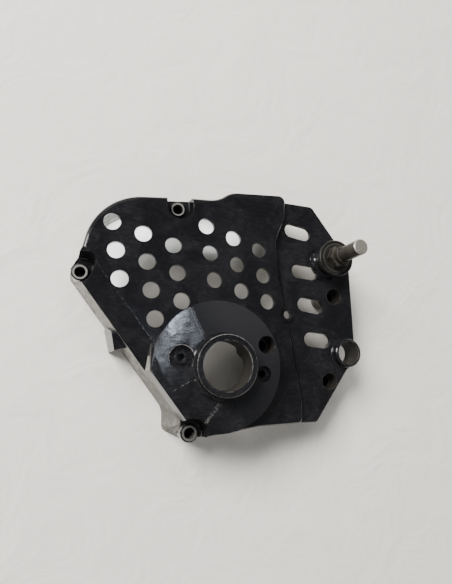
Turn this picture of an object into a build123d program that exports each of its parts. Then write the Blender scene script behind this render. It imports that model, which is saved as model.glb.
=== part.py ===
"""Die-cast cover of a motorcycle's output sprocket, with the stud that a lever turns on.

The drawing's datum is the main bore: its axis is X 0, Y 0, and the joint face is Z 0.
Z points away from the engine. At the end all pieces move so that the origin lies on the
joint face in the middle of the cover's length and width. Millimetres and degrees.
"""
from build123d import *
from math import atan2, cos, degrees, hypot, pi, radians, sin, tan
import os

# How far the cover reaches from the main bore, before its corners are rounded
LEFT_REACH = 100.3
RIGHT_REACH = 107.2
TOP_REACH = 128.0
BOTTOM_REACH = 50.2

# Shell
WALL = 3.0
SIDE_DRAFT = 2.0
FACE_HEIGHT = 37.0
FACE_CREASE_X = -22.0
FACE_FALL = 6.5
EDGE_ROUND = 3.2

# Long flank on the left: a leaning wall, a rim and a slope up to the face
FLANK_LEFT_END = (-LEFT_REACH, 59.3)
FLANK_LOWER_END = (-20.5, 2.8 - BOTTOM_REACH)
FLANK_INSET = 0.4
FLANK_LEAN = 8.5
RIM_HEIGHT = 24.0
SLOPE_RUN = 13.3
RISER_X = -46.5
RISER_LEAN = 9.0

# Brow along the top right edge
BROW_Y = TOP_REACH - 9.5
BROW_FALL = 14.0

# Flared foot beside the lower screw boss
FLARE_HEIGHT = 25.0
FLARE_DRAFT = 20.0

# Way out for the chain, under the right plate and the bottom edge
CHAIN_EXIT_HEIGHT = 21.0
BOTTOM_EXIT_X = -8.0
BOTTOM_EXIT_Y = 18.2 - BOTTOM_REACH
RIGHT_EXIT_X = 40.0
RIGHT_EXIT_Y = TOP_REACH - 17.0

# Right plate
PLATE_HEIGHT = 24.0
PLATE_THICKNESS = 3.0

# Vent holes, on one slanted grid
VENT_DIAMETER = 11.0
VENT_STEP_ACROSS = (19.9, -6.2)
VENT_STEP_DOWN = (3.1, -18.5)
LEFT_VENTS = (-73.6, 91.0)
RIGHT_VENTS = (-11.3, 94.2)
LEFT_VENT_COUNTS = (3, 4, 3)
RIGHT_VENT_COUNTS = (3, 3, 3)

# Slots in the right plate: centre and tilt
SLOT_LENGTH = 21.0
SLOT_WIDTH = 10.5
SLOTS = (
    (62.5, 100.2, -11.0),
    (67.4, 69.5, -5.5),
    (71.2, 44.2, -9.0),
    (75.8, 18.8, -6.0),
)

# Raised disc round the main bore
DISC_X = -3.2
DISC_RADIUS = 42.4
DISC_HEIGHT = 40.0
DISC_FALL_TOWARDS = 205.0
DISC_LEFT_FALL = 5.0

# Main bore and its collar
MAIN_BORE = (0.0, 0.0)
BORE_DIAMETER = 32.0
COLLAR_DIAMETER = 39.6
COLLAR_HEIGHT = 50.0
BORE_LENGTH = 18.0
COLLAR_FOOT_ROUND = 2.0

# Screw holes to the crankcase
SCREW_HOLE_DIAMETER = 7.0
TOP_BOSS = (-30.2, TOP_REACH - 21.7)
TOP_BOSS_DIAMETER = 10.6
TOP_BOSS_HEIGHT = 30.0
TOP_POCKET_RADIUS = 7.6
TOP_POCKET_SHIFT = (0.9, 0.0)
LEFT_BOSS = (8.3 - LEFT_REACH, 59.7)
LEFT_BOSS_DIAMETER = 11.2
LEFT_BOSS_HEIGHT = 23.5
LEFT_POCKET_RADIUS = 4.6
LEFT_POCKET_SHIFT = (3.0, 4.6)
LOWER_BOSS = (-19.2, 7.5 - BOTTOM_REACH)
LOWER_BOSS_DIAMETER = 11.8
LOWER_BOSS_HEIGHT = 26.0
LOWER_POCKET_RADIUS = 8.4
LOWER_POCKET_SHIFT = (0.0, 0.0)
POCKET_DEPTH = 2.5
POCKET_DRAFT = 8.0
HEAD_ROOM_RADIUS = 6.2
BOSS_CHAMFER = 0.6

# Sunk screw holes: place, recess diameter, height of the recess floor, column diameter
PLATE_RECESS_DIAMETER = 11.6
PLATE_RECESS_FLOOR = 15.5
PLATE_COLUMN_DIAMETER = 13.6
UPPER_PLATE_SCREW = (RIGHT_REACH - 16.1, 52.1)
LOWER_PLATE_SCREW = (RIGHT_REACH - 22.5, -10.7)
DISC_SCREW = (29.8, 13.9)
DISC_SCREW_RECESS_DIAMETER = 11.8
DISC_SCREW_FLOOR = 28.0
DISC_SCREW_COLUMN_DIAMETER = 18.0

# Blind tapped bosses beside the collar
TAPPED_HOLE_DIAMETER = 5.0
TAPPED_BOSS_BOTTOM = 26.0
TAPPED_BOSS_WALL = 3.0
LEFT_TAPPED = (-27.3, 5.2)
LEFT_TAPPED_RECESS_DIAMETER = 15.6
LEFT_TAPPED_FLOOR = 35.2
LEFT_TAPPED_RING_DIAMETER = 8.4
LEFT_TAPPED_RING_HEIGHT = 36.6
RIGHT_TAPPED = (27.3, -5.2)
RIGHT_TAPPED_RECESS_DIAMETER = 10.4
RIGHT_TAPPED_FLOOR = 36.8

# Small through hole in the foot of the step
STEP_HOLE = (52.2, 36.8)
STEP_HOLE_DIAMETER = 6.0
STEP_HOLE_BOSS_DIAMETER = 10.5
STEP_HOLE_BOSS_RISE = 1.0
STEP_HOLE_ROOM_RADIUS = 7.3

# Tube for the lever's cross shaft
TUBE = (RIGHT_REACH - 9.3, 9.8)
TUBE_DIAMETER = 20.6
TUBE_BORE = 16.6
TUBE_TOP = 30.0
TUBE_BOTTOM = 11.0
TUBE_FOOT_ROUND = 1.5

# Square lug on the flank
LUG_END = (-73.2, 16.8)
LUG_ANGLE = 193.0
LUG_REACH = 16.0

# Stud, its boss and washer
STUD = (RIGHT_REACH - 19.8, 78.8)
STUD_BOSS_DIAMETER = 21.0
STUD_BOSS_TOP = 33.5
STUD_BOSS_BOTTOM = 15.0
STUD_BOSS_FOOT_ROUND = 1.5
THREAD_DIAMETER = 10.0
THREAD_CLEARANCE = 0.05
THREAD_LENGTH = 16.0
WASHER_DIAMETER = 27.4
WASHER_HOLE_DIAMETER = 10.6
WASHER_THICKNESS = 3.5
WASHER_ROUND = 1.0
HEX_ACROSS_FLATS = 14.5
HEX_HEIGHT = 6.5
HEX_TURN = 8.0
HEX_CROWN_RADIUS = 6.9
HEX_CROWN_ANGLE = 30.0
SHOULDER_DIAMETER = 12.4
SHOULDER_HEIGHT = 4.5
PIN_DIAMETER = 10.8
PIN_LENGTH = 20.5
PIN_CHAMFER = 0.8

# Corners of the cover's outline at the joint face, each with its radius
OUTLINE = (
    (*FLANK_LOWER_END, 5.0),
    (28.0, 9.2 - BOTTOM_REACH, 60.0),
    (62.4, 10.2 - BOTTOM_REACH, 5.0),
    (62.3, -24.0, 30.0),
    (54.4, 21.0, 30.0),
    (48.9, 44.0, 30.0),
    (43.8, 91.0, 30.0),
    (52.2, TOP_REACH - 19.0, 14.0),
    (52.6, TOP_REACH, 6.0),
    (7.0, TOP_REACH - 4.4, 18.0),
    (-3.0, TOP_REACH - 11.9, 22.0),
    (15.9 - LEFT_REACH, TOP_REACH - 18.0, 40.0),
    (7.9 - LEFT_REACH, 73.4, 5.0),
    (*FLANK_LEFT_END, 6.0),
)

# Corners of the right plate, each with its radius; the first and last lie under the cover
PLATE_OUTLINE = (
    (40.0, 11.2 - BOTTOM_REACH, 0.0),
    (RIGHT_REACH - 33.6, 11.2 - BOTTOM_REACH, 4.0),
    (RIGHT_REACH, 8.2, 4.0),
    (RIGHT_REACH - 1.8, 81.5, 6.0),
    (RIGHT_REACH - 31.8, TOP_REACH - 6.1, 5.0),
    (38.0, TOP_REACH - 4.5, 0.0),
)

# Corners of the flared foot, each with its radius
FLARE_OUTLINE = (
    (-37.5, 29.2 - BOTTOM_REACH, 3.0),
    (-34.0, 19.2 - BOTTOM_REACH, 6.0),
    (-33.8, 7.2 - BOTTOM_REACH, 5.0),
    (-19.0, -BOTTOM_REACH, 5.0),
    (-10.0, 5.2 - BOTTOM_REACH, 2.0),
    (-20.0, 25.2 - BOTTOM_REACH, 2.0),
)

# The lug's end seen along it, crest towards the top edge: across, up, radius
LUG_PROFILE = (
    (-8.0, 0.0, 0.0),
    (-8.0, 12.0, 1.5),
    (-4.2, RIM_HEIGHT, 1.5),
    (8.0, RIM_HEIGHT - 2.5, 1.5),
    (8.0, 0.0, 0.0),
)

PLATE_CHAMFER = 0.6
PLATE_RIM_FROM_X = 64.0
ROOF_NORMAL = 0.8
WALL_NORMAL = 0.3
TALL = 2 * COLLAR_HEIGHT
BIG = 2 * (LEFT_REACH + RIGHT_REACH)


def rounded_outline(corners):
    """A closed outline whose corners are rounded by tangent arcs."""
    points = [(x, y) for x, y, _ in corners]
    radii = [radius for _, _, radius in corners]
    return make_face(FilletPolyline(*points, radius=radii, close=True))


def post(place, diameter, bottom, top):
    """An upright round post from one height to another."""
    x, y = place
    return Pos(x, y, bottom) * extrude(Circle(diameter / 2), top - bottom)


def under_plane(point, across, fall):
    """All that lies under a plane through a point, falling towards one compass angle."""
    block = Box(BIG, BIG, BIG, align=(Align.CENTER, Align.CENTER, Align.MAX))
    return Pos(*point) * Rot(0, 0, across) * Rot(0, fall, 0) * block


def behind_wall(point, across, lean):
    """All that lies behind a wall through a point, facing one compass angle and leaning back."""
    return under_plane(point, across, degrees(pi / 2) - lean)


def flank_line():
    """The compass angle that the flank faces, and the distance of its foot from the main bore."""
    along_x = FLANK_LEFT_END[0] - FLANK_LOWER_END[0]
    along_y = FLANK_LEFT_END[1] - FLANK_LOWER_END[1]
    length = hypot(along_x, along_y)
    out_x, out_y = -along_y / length, along_x / length
    distance = FLANK_LEFT_END[0] * out_x + FLANK_LEFT_END[1] * out_y - FLANK_INSET
    return degrees(atan2(out_y, out_x)), distance


def on_flank(distance, height):
    """The point straight out from the main bore towards the flank, at a distance and height."""
    facing = radians(flank_line()[0])
    return distance * cos(facing), distance * sin(facing), height


def sides(inset):
    """The upright walls' block, with the leaning flank, inset from the outside all round."""
    plan = rounded_outline(OUTLINE)
    if inset:
        plan = offset(plan, amount=-inset, kind=Kind.ARC)
    block = extrude(plan, max(FACE_HEIGHT, DISC_HEIGHT), taper=SIDE_DRAFT)
    facing, reach = flank_line()
    foot = on_flank(reach - inset / cos(radians(FLANK_LEAN)), 0)
    return block & behind_wall(foot, facing, FLANK_LEAN)


def slope_room(inset):
    """The room above the slope on the left, as far as the riser beside the disc."""
    facing, reach = flank_line()
    steepness = atan2(FACE_HEIGHT - RIM_HEIGHT, SLOPE_RUN)
    rim_distance = reach - RIM_HEIGHT * tan(radians(FLANK_LEAN))
    rim = on_flank(rim_distance, RIM_HEIGHT - inset / cos(steepness))
    riser_top = (RISER_X + inset / cos(radians(RISER_LEAN)), 0, FACE_HEIGHT)
    above = Box(BIG, BIG, BIG) - under_plane(rim, facing, degrees(steepness))
    return above - behind_wall(riser_top, 180, RISER_LEAN)


def bulk(inset):
    """The cover's form under its face, brow and slope, inset from the outside."""
    top = (FACE_CREASE_X, BROW_Y, FACE_HEIGHT - inset)
    block = sides(inset)
    block &= under_plane(top, 0, 0)
    block &= under_plane(top, 0, FACE_FALL)
    return block - slope_room(inset)


def disc(inset):
    """The raised disc, level on the right and falling to the left of its crease."""
    top = DISC_HEIGHT - inset
    body = post((DISC_X, 0), 2 * (DISC_RADIUS - inset), RIM_HEIGHT, top)
    body &= under_plane((DISC_X, 0, top), DISC_FALL_TOWARDS, DISC_LEFT_FALL)
    return body & sides(inset)


def brow_room():
    """What the brow takes off the face's top right edge."""
    top = (FACE_CREASE_X, BROW_Y, FACE_HEIGHT)
    beyond = Pos(0, BROW_Y, 0) * Box(BIG, BIG, TALL, align=(Align.CENTER, Align.MIN, Align.MIN))
    slanted_face = Pos(*top) * Rot(0, FACE_FALL, 0)
    return beyond - slanted_face * under_plane((0, 0, 0), 90, BROW_FALL)


def flare(inset):
    """The foot that spreads out beside the lower screw boss."""
    plan = rounded_outline(FLARE_OUTLINE)
    if inset:
        plan = offset(plan, amount=-inset, kind=Kind.ARC)
    return extrude(plan, FLARE_HEIGHT - inset, taper=FLARE_DRAFT)


def roof_edges(shape):
    """The edges where a face that looks up meets one that looks sideways."""
    faces = shape.faces()
    roofs = [face for face in faces if face.normal_at().Z > ROOF_NORMAL]
    walls = [face for face in faces if abs(face.normal_at().Z) < WALL_NORMAL]
    of_roofs = {edge for roof in roofs for edge in roof.edges()}
    of_walls = {edge for wall in walls for edge in wall.edges()}
    return [edge for edge in shape.edges() if edge in of_roofs and edge in of_walls]


def boss(place, diameter, bottom, top, edge=BOSS_CHAMFER):
    """A post whose machined top has a small chamfer."""
    body = post(place, diameter, bottom, top)
    rim = body.edges().group_by(Axis.Z)[-1]
    return chamfer(rim, edge)


def pocket_room(place, shift, radius, floor, way_out, grown=0):
    """The room over a screw's boss, with drafted walls and open towards the outside."""
    far_out = Pos(BIG / 4 * cos(radians(way_out)), BIG / 4 * sin(radians(way_out)))
    pocket = Pos(*shift) * Circle(radius + grown)
    rims = Circle(HEAD_ROOM_RADIUS + grown).edges() + pocket.edges() + (far_out * pocket).edges()
    return Pos(*place, floor) * extrude(make_hull(rims), TALL - floor, taper=-POCKET_DRAFT)


def vent_places():
    """Centres of the vent holes: two groups of slanted columns."""
    places = []
    for start, counts in ((LEFT_VENTS, LEFT_VENT_COUNTS), (RIGHT_VENTS, RIGHT_VENT_COUNTS)):
        for column, count in enumerate(counts):
            for row in range(count):
                x = start[0] + column * VENT_STEP_ACROSS[0] + row * VENT_STEP_DOWN[0]
                y = start[1] + column * VENT_STEP_ACROSS[1] + row * VENT_STEP_DOWN[1]
                places.append((x, y))
    return places


def vents():
    """The vent holes through the face."""
    low = CHAIN_EXIT_HEIGHT
    return [post(place, VENT_DIAMETER, low, TALL) for place in vent_places()]


def slots():
    """The long slots through the right plate."""
    cutters = []
    for x, y, tilt in SLOTS:
        plan = SlotOverall(SLOT_LENGTH, SLOT_WIDTH, rotation=tilt)
        cutters.append(Pos(x, y, PLATE_HEIGHT - PLATE_THICKNESS - 1) * extrude(plan, PLATE_THICKNESS + 2))
    return cutters


def right_plate():
    """The lower plate on the right, joined to the cover's right wall."""
    cover = offset(rounded_outline(OUTLINE), amount=-WALL / 2, kind=Kind.ARC)
    plan = rounded_outline(PLATE_OUTLINE) - cover
    plate = extrude(plan, PLATE_THICKNESS)
    rim = [edge for edge in plate.edges().group_by(Axis.Z)[-1] if edge.center().X > PLATE_RIM_FROM_X]
    plate = chamfer(rim, PLATE_CHAMFER)
    return Pos(0, 0, PLATE_HEIGHT - PLATE_THICKNESS) * plate


def chain_exits():
    """The open stretches under the bottom edge and under the right plate."""
    room = Box(BIG, BIG, CHAIN_EXIT_HEIGHT, align=(Align.MIN, Align.MAX, Align.MIN))
    return [
        Pos(BOTTOM_EXIT_X, BOTTOM_EXIT_Y, 0) * room,
        Pos(RIGHT_EXIT_X, RIGHT_EXIT_Y, 0) * room,
    ]


def foot_round(place, diameter, height, radius):
    """The ring of metal that rounds the corner between a post and the flat it stands on."""
    x, y = place
    corner = Pos(diameter / 2, 0) * (
        Rectangle(radius, radius, align=(Align.MIN, Align.MIN))
        - Pos(radius, radius) * Circle(radius)
    )
    return Pos(x, y, height) * revolve(Plane.XZ * corner, Axis.Z)


def lug():
    """The lug that sticks out of the flank, its end leaning like the flank."""
    x, y = LUG_END
    block = extrude(Plane.YZ * rounded_outline(LUG_PROFILE), -LUG_REACH)
    block = Pos(x, y, 0) * Rot(0, 0, LUG_ANGLE) * block
    return block & behind_wall((x, y, 0), LUG_ANGLE, FLANK_LEAN)


def bore_collar():
    """The sleeve of the main bore: a collar above the disc, running down through it."""
    sleeve = boss(MAIN_BORE, COLLAR_DIAMETER, COLLAR_HEIGHT - BORE_LENGTH, COLLAR_HEIGHT)
    return sleeve + foot_round(MAIN_BORE, COLLAR_DIAMETER, DISC_HEIGHT, COLLAR_FOOT_ROUND)


def tube():
    """The tube at the right edge, with its rounded foot on the plate."""
    sleeve = boss(TUBE, TUBE_DIAMETER, TUBE_BOTTOM, TUBE_TOP)
    foot = foot_round(TUBE, TUBE_DIAMETER, PLATE_HEIGHT, TUBE_FOOT_ROUND)
    over_plate = extrude(rounded_outline(PLATE_OUTLINE), TALL)
    return sleeve + (foot & over_plate)


def stud_boss():
    """The boss that holds the stud, above and below the plate."""
    body = boss(STUD, STUD_BOSS_DIAMETER, STUD_BOSS_BOTTOM, STUD_BOSS_TOP)
    return body + foot_round(STUD, STUD_BOSS_DIAMETER, PLATE_HEIGHT, STUD_BOSS_FOOT_ROUND)


def step_boss():
    """The low ring round the small hole in the foot of the step."""
    bottom = PLATE_HEIGHT - PLATE_THICKNESS
    return post(STEP_HOLE, STEP_HOLE_BOSS_DIAMETER, bottom, PLATE_HEIGHT + STEP_HOLE_BOSS_RISE)


def outer_bosses():
    """The bosses that stand above the skin round them, still undrilled."""
    return [
        boss(TOP_BOSS, TOP_BOSS_DIAMETER, 0, TOP_BOSS_HEIGHT),
        boss(LEFT_BOSS, LEFT_BOSS_DIAMETER, 0, LEFT_BOSS_HEIGHT),
        boss(LOWER_BOSS, LOWER_BOSS_DIAMETER, 0, LOWER_BOSS_HEIGHT),
        post(UPPER_PLATE_SCREW, PLATE_COLUMN_DIAMETER, 0, PLATE_HEIGHT),
        post(LOWER_PLATE_SCREW, PLATE_COLUMN_DIAMETER, 0, PLATE_HEIGHT),
        step_boss(),
        bore_collar(),
        tube(),
        stud_boss(),
    ]


def hidden_columns():
    """The metal left standing in the hollow under the disc."""
    left_tapped_width = LEFT_TAPPED_RECESS_DIAMETER + 2 * TAPPED_BOSS_WALL
    right_tapped_width = RIGHT_TAPPED_RECESS_DIAMETER + 2 * TAPPED_BOSS_WALL
    return [
        post(DISC_SCREW, DISC_SCREW_COLUMN_DIAMETER, 0, TALL),
        post(LEFT_TAPPED, left_tapped_width, TAPPED_BOSS_BOTTOM, TALL),
        post(RIGHT_TAPPED, right_tapped_width, TAPPED_BOSS_BOTTOM, TALL),
    ]


def screw_holes():
    """The holes for the screws that hold the cover to the crankcase."""
    places = (TOP_BOSS, LEFT_BOSS, LOWER_BOSS, UPPER_PLATE_SCREW, LOWER_PLATE_SCREW, DISC_SCREW)
    return [post(place, SCREW_HOLE_DIAMETER, 0, TALL) for place in places]


def bores():
    """The holes that go right through for the shaft, the lever, the stud and the step."""
    thread = THREAD_DIAMETER + 2 * THREAD_CLEARANCE
    return [
        post(MAIN_BORE, BORE_DIAMETER, 0, TALL),
        post(TUBE, TUBE_BORE, 0, TALL),
        post(STEP_HOLE, STEP_HOLE_DIAMETER, 0, TALL),
        post(STUD, thread, 0, TALL),
    ]


def recesses():
    """The sunk seats of the screws and the two tapped seats beside the collar."""
    tapped_end = TAPPED_BOSS_BOTTOM + TAPPED_BOSS_WALL
    ring = post(LEFT_TAPPED, LEFT_TAPPED_RING_DIAMETER, LEFT_TAPPED_FLOOR, LEFT_TAPPED_RING_HEIGHT)
    collar = post(MAIN_BORE, COLLAR_DIAMETER, 0, COLLAR_HEIGHT)
    seat = post(LEFT_TAPPED, LEFT_TAPPED_RECESS_DIAMETER, LEFT_TAPPED_FLOOR, TALL)
    return [
        post(UPPER_PLATE_SCREW, PLATE_RECESS_DIAMETER, PLATE_RECESS_FLOOR, TALL),
        post(LOWER_PLATE_SCREW, PLATE_RECESS_DIAMETER, PLATE_RECESS_FLOOR, TALL),
        post(DISC_SCREW, DISC_SCREW_RECESS_DIAMETER, DISC_SCREW_FLOOR, TALL),
        post(RIGHT_TAPPED, RIGHT_TAPPED_RECESS_DIAMETER, RIGHT_TAPPED_FLOOR, TALL),
        post(RIGHT_TAPPED, TAPPED_HOLE_DIAMETER, tapped_end, TALL),
        post(LEFT_TAPPED, TAPPED_HOLE_DIAMETER, tapped_end, TALL),
        seat - ring - collar,
    ]


def cover_casting():
    """The whole casting: a thin shell with its plate, bosses, collar and holes."""
    shell = fillet(roof_edges(bulk(0)), EDGE_ROUND)
    shell += disc(0)
    shell -= brow_room()
    shell += flare(0)
    hollow = bulk(WALL) + disc(WALL) + flare(WALL)
    step_room = post(STEP_HOLE, 2 * STEP_HOLE_ROOM_RADIUS, PLATE_HEIGHT, TALL)
    step_corner = post(STEP_HOLE, 2 * (STEP_HOLE_ROOM_RADIUS + WALL), PLATE_HEIGHT - WALL, TALL)
    pockets = (
        (TOP_BOSS, TOP_POCKET_SHIFT, TOP_POCKET_RADIUS, TOP_BOSS_HEIGHT - POCKET_DEPTH, 95),
        (LEFT_BOSS, LEFT_POCKET_SHIFT, LEFT_POCKET_RADIUS, LEFT_BOSS_HEIGHT - POCKET_DEPTH, 172),
        (LOWER_BOSS, LOWER_POCKET_SHIFT, LOWER_POCKET_RADIUS, LOWER_BOSS_HEIGHT - POCKET_DEPTH, 262),
    )
    shell -= step_room
    hollow -= step_corner
    for place, shift, radius, floor, way_out in pockets:
        shell -= pocket_room(place, shift, radius, floor, way_out)
        hollow -= pocket_room(place, shift, radius, floor - WALL, way_out, WALL)
    hollow -= hidden_columns()
    shell -= hollow
    shell += lug() - hollow
    shell -= chain_exits()
    shell += right_plate()
    shell += outer_bosses()
    shell -= vents() + slots() + screw_holes() + bores() + recesses()
    return shell


def flange_washer():
    """The thick round washer between the stud's hexagon and its boss."""
    x, y = STUD
    plan = Circle(WASHER_DIAMETER / 2) - Circle(WASHER_HOLE_DIAMETER / 2)
    washer = extrude(plan, WASHER_THICKNESS)
    rims = washer.edges().filter_by(GeomType.CIRCLE)
    rims = [rim for rim in rims if rim.radius > WASHER_HOLE_DIAMETER]
    return Pos(x, y, STUD_BOSS_TOP) * fillet(rims, WASHER_ROUND)


def pivot_stud():
    """The stud that the lever turns on: thread, hexagon, shoulder and pin, turned in one."""
    x, y = STUD
    seat = STUD_BOSS_TOP + WASHER_THICKNESS
    hexagon_top = seat + HEX_HEIGHT
    shoulder_top = hexagon_top + SHOULDER_HEIGHT
    pin_top = shoulder_top + PIN_LENGTH
    thread_end = seat - WASHER_THICKNESS - THREAD_LENGTH
    hexagon = extrude(RegularPolygon(HEX_ACROSS_FLATS / 2, 6, major_radius=False), HEX_HEIGHT)
    crown_foot = HEX_CROWN_RADIUS + HEX_HEIGHT / tan(radians(HEX_CROWN_ANGLE))
    upright = (Align.CENTER, Align.CENTER, Align.MIN)
    hexagon &= Cone(crown_foot, HEX_CROWN_RADIUS, HEX_HEIGHT, align=upright)
    stud = Pos(x, y, seat) * Rot(0, 0, HEX_TURN) * hexagon
    thread = post(STUD, THREAD_DIAMETER, thread_end, seat)
    stud += chamfer(thread.edges().group_by(Axis.Z)[0], PIN_CHAMFER)
    stud += post(STUD, SHOULDER_DIAMETER, hexagon_top, shoulder_top)
    return stud + boss(STUD, PIN_DIAMETER, shoulder_top, pin_top, PIN_CHAMFER)


def assembly():
    """Every piece of the cover by name, on the drawing's datum."""
    return {
        "cover_casting": cover_casting(),
        "pivot_stud": pivot_stud(),
        "flange_washer": flange_washer(),
    }


def centred(pieces):
    """The pieces moved together, so that the casting's middle is over the origin."""
    middle = pieces["cover_casting"].bounding_box().center()
    return {name: Pos(-middle.X, -middle.Y, 0) * piece for name, piece in pieces.items()}


if __name__ == "__main__":
    os.makedirs("parts", exist_ok=True)
    for name, solid in centred(assembly()).items():
        print(name, solid.is_valid, len(solid.solids()), round(solid.volume), solid.bounding_box())
        export_step(solid, f"parts/{name}.step")
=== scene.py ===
"""Looks, stage and camera for a motorcycle gearbox output cover with its lever stud.

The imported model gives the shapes. This file adds the gloss black paint with its chips and
smears, the bare casting, the machined rings, the greasy stud and washer, the cove at the stud
boss's foot, the table, the light and the camera.
"""
import math

import bpy
import numpy as np
from mathutils import Matrix, Quaternion, Vector


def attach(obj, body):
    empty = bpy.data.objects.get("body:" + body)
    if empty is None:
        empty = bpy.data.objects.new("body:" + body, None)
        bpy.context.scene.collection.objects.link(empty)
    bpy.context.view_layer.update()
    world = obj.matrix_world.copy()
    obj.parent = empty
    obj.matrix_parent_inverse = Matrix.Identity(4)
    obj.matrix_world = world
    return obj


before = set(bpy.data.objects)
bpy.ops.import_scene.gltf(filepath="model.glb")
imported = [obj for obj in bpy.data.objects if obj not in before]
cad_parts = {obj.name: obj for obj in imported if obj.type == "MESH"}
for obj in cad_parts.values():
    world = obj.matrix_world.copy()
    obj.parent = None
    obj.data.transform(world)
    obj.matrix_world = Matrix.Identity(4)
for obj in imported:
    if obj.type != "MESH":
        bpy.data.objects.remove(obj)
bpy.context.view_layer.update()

bl_info = {
    "name": "Output Cover Finishes",
    "version": (1, 0, 0),
    "blender": (4, 5, 0),
    "location": "View3D > Sidebar > Output Cover",
    "description": "Paint, bare metal, grease, table and light for a gearbox output cover",
    "category": "Object",
}

MM = 0.001

# Where the drawing's datum, the main bore, lies from the model's origin. Sizes and places are in
# millimetres, and places are on that datum, apart from those of the lights and the camera
DATUM = (-4.52045, -38.91892, 0.0)

TOP_SCREW = (-30.2, 106.3)
LEFT_SCREW = (-92.0, 59.7)
LOWER_SCREW = (-19.2, -42.7)
UPPER_PLATE_SCREW = (91.1, 52.1)
LOWER_PLATE_SCREW = (84.7, -10.7)
DISC_SCREW = (29.8, 13.9)
SCREW_HOLE_RADIUS = 3.5

# Machined rings round the outer screws: centre, outer radius, top, how bright the metal is
SCREW_SEATS = (
    (TOP_SCREW, 4.45, 30.0, 0.40),
    (LEFT_SCREW, 4.7, 23.5, 0.50),
    (LOWER_SCREW, 4.9, 26.0, 0.20),
)

# Screw holes and wells, darkened as old grease and painted shade: centre, radius, lowest, highest
WELLS = (
    (UPPER_PLATE_SCREW, 6.2, 8.0, 40.0),
    (LOWER_PLATE_SCREW, 6.2, 8.0, 40.0),
    (DISC_SCREW, 6.2, 8.0, 39.6),
    (TOP_SCREW, 3.48, 1.0, 40.0),
    (LEFT_SCREW, 3.48, 1.0, 40.0),
    (LOWER_SCREW, 3.48, 1.0, 40.0),
)

# Open pockets beside the screw bosses, painted as the outside is: centre and floor
POCKETS = (
    (TOP_SCREW, 28.0),
    (LEFT_SCREW, 21.8),
    (LOWER_SCREW, 24.3),
)
POCKET_RADIUS = 17.0
POCKET_TOP = 45.0

# Scuffs on the paint, and along the disc's crease a streak that is a scratch and a painted highlight:
# middle, angle, half length, half width, how strongly they show
SCUFF_AND_HIGHLIGHT_MARKS = {
    "lower scuff": ((-8.0, -31.0), 0.93, 10.5, 1.7, 0.38),
    "facet scratch": ((-26.6, -12.4), 0.535, 7.2, 0.22, 0.6),
    # A scratch and a painted highlight along the disc's crease
    "disc crease": ((-17.5, 25.5), 2.03, 16.0, 0.10, 0.45),
}

BORE = (0.0, 0.0)
BORE_RADIUS = 16.0
BORE_PAINT_END = 31.0
COLLAR_RADIUS = 19.8
COLLAR_TOP = 50.0
TUBE = (97.9, 9.8)
TUBE_BORE_RADIUS = 8.3
TUBE_FOOT = 9.0
TUBE_TOP = 30.0
TAPPED_SEAT = (-27.3, 5.2)
TAPPED_SEAT_RADIUS = 7.85
TAPPED_SEAT_TOP = 35.5

STUD = (87.4, 78.8)
STUD_BOSS_RADIUS = 10.5
WASHER_TOP = 37.0
PIN_TOP = 68.5

# The cove at the stud boss's foot: its reach, the middle of its sweep, half its sweep, and how far
# it is sunk into the casting
COVE_REACH = 4.4
COVE_MIDDLE = math.radians(172.0)
COVE_HALF_TURN = math.radians(62.0)
COVE_SINK = 0.25

FLANK_ANGLE = math.radians(216.79)
FLANK_OUT = (math.cos(FLANK_ANGLE), math.sin(FLANK_ANGLE), 0.0)
FLANK_DISTANCE = 44.42
FLANK_LEAN = math.radians(8.5)
FLANK_END_X = -19.0
FLARE_TOP_Y = -17.0
SLOPE_TOP_DISTANCE = 27.5
RISER_X = -46.0
RIM_HEIGHT = 24.0
PLATE_HEIGHT = 24.0
PLATE_UNDERSIDE = 21.0
PLATE_LEFT = 51.0
DISC_HEIGHT = 40.0
FACE_HEIGHT = 37.0
FACE_CREASE_X = -22.0
FACE_FALL = math.radians(6.5)
FACE_THICKNESS = 3.3
HOLLOW_MIDDLE = (-25.0, 38.0, 0.0)
LEFTWARD = (-1.0, 0.0, 0.0)

# An inner radius that leaves no hole in a ring's mask
FILLED = -1.0

# How strongly the facet's own polish shows
FACET_SHARE = 0.45

# The depth, in metres, of a bump whose height is 1
BUMP_DEPTH = 0.0002

# Lights, with places and sizes in metres
TABLE_MIDDLE = (0.0, 0.0, 0.0)
WINDOW_PLACE = (-1.25, 1.2, 1.45)
WINDOW_SIZE = (1.3, 1.0)
SHINE_PLACE = (-2.0, 0.75, 1.2)
SHINE_SIZE = (0.9, 0.9)
ROOM_LAMP_SIZE = (1.2, 1.0)
EDGE_LIGHT_SPREAD = math.radians(75.0)
DAYLIGHT = (1.0, 0.985, 0.96)
EDGE_LIGHT = (0.92, 0.965, 1.0)
OVERHEAD_LIGHT = (0.80, 0.88, 1.0)
ROOM_COLOUR = (0.95, 0.97, 1.0, 1.0)

# Soft lamps round the table: name, place, share of the room lamps' power
ROOM_LAMPS = (
    ("lamp_back", (0.3, 1.9, 1.6), 0.9),
    ("lamp_right", (1.8, -0.2, 1.6), 0.06),
    ("lamp_front", (-0.7, -1.8, 1.5), 0.45),
)

# Small lamps overhead that only shine in the gloss: name, place, size, turn, share of the power
GLINTS = (
    ("glint_upper", (-0.013, 0.040, 1.5), (0.050, 0.072), -0.5, 1.35),
    ("glint_lower", (-0.082, -0.075, 1.5), (0.036, 0.095), -0.5, 0.36),
)

# Lights in the hollow, for the daylight that enters it: name, place, size, share of the power
EDGE_LIGHTS = (
    ("edge_left", (-0.0775, 0.035, 0.0285), (0.016, 0.055), 0.78),
    ("edge_top_left", (-0.0565, 0.060, 0.0285), (0.040, 0.012), 0.7),
    ("edge_top", (-0.0025, 0.063, 0.0265), (0.050, 0.010), 0.6),
)

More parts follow.
